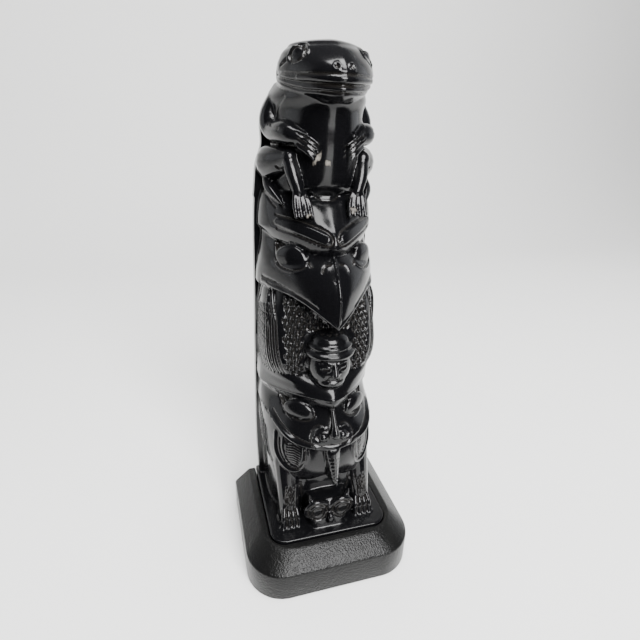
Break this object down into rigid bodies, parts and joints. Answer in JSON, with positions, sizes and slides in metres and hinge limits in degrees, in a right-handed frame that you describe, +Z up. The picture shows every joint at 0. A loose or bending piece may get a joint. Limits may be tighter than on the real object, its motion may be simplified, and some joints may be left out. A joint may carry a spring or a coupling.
{
  "type": "totem pole",
  "caption": "Black cast-resin souvenir totem pole with a seated frog, an eagle, a man's head, a bear, a hanging bird and a round-eyed mask, flat at the back, on a bevelled plinth.",
  "frame": {"origin": "middle of the plinth's underside, the footprint's centre", "axes": "+Z up the pole, -Y the way the figures look, +X to the viewer's right as they face the figures"},
  "size_m": [0.085, 0.07, 0.2405],
  "materials": {
    "glossy_resin": "polished black cast resin with soft carved edges",
    "satin_resin": "satin black resin with a fine pebbled face"
  },
  "bodies": {
    "root": {"pole": "glossy_resin", "plinth": "satin_resin"}
  },
  "joints": []
}
